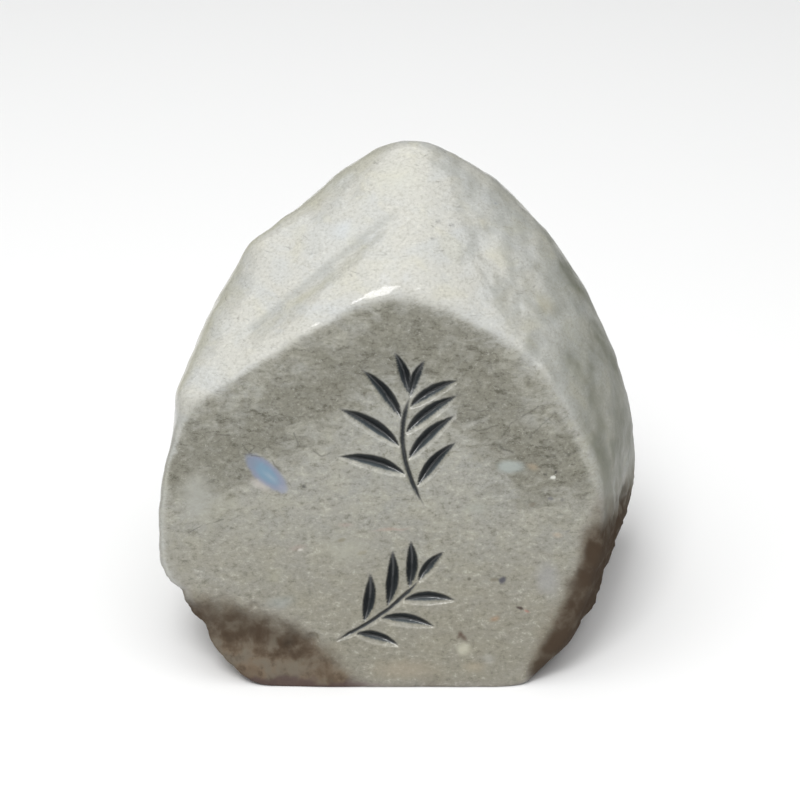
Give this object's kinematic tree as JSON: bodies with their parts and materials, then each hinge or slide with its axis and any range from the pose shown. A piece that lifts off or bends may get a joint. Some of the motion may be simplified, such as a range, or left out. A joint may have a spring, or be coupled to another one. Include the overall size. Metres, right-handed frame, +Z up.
{
  "type": "engraved gobi stone",
  "caption": "Natural desert stone with a leaning flat front, a gabled top and a flat base, carved with leafy sprigs and varnished, to stand on a desk or shelf.",
  "frame": {"origin": "middle of the bounding box at the flat base, where the stone rests", "axes": "+X to the right as the engraved front is seen, +Y away from the front towards the back, +Z up; the engraved front faces -Y and leans back"},
  "size_m": [0.1017, 0.0774, 0.0942],
  "materials": {
    "stone": "varnished pale grey-buff stone, dark ink in the engraving"
  },
  "bodies": {
    "root": {"stone": "stone"}
  },
  "joints": []
}
